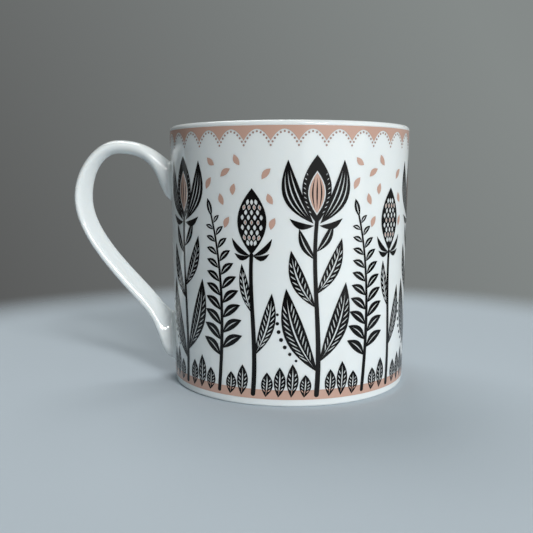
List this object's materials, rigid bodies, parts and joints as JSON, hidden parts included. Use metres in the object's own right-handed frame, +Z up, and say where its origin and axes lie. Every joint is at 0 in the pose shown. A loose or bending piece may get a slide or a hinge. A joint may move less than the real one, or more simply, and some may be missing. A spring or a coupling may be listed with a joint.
{
  "type": "mug",
  "caption": "Straight-sided bone china mug with a loop handle, a printed scalloped rim border, a printed wall and a plain band above its foot, for holding a hot drink.",
  "frame": {"origin": "on the cup's axis, in the plane that the foot ring stands on", "axes": "+Z up along the cup's axis, -X from the axis towards the handle, -Y to the front that the picture shows"},
  "size_m": [0.1152, 0.0824, 0.087],
  "materials": {
    "glazed_china": "clear high-gloss glaze on white bone china",
    "slip": "fired slip under the glaze",
    "pink_print": "dusty pink fired ink, glossy",
    "black_print": "black fired ink, glossy"
  },
  "bodies": {
    "root": {"cup_body": "glazed_china", "handle": "glazed_china", "upper_slip_joint": "slip", "lower_slip_joint": "slip", "rim_border_transfer": "pink_print", "main_print_transfer": "black_print", "base_band_transfer": "pink_print"}
  },
  "joints": []
}
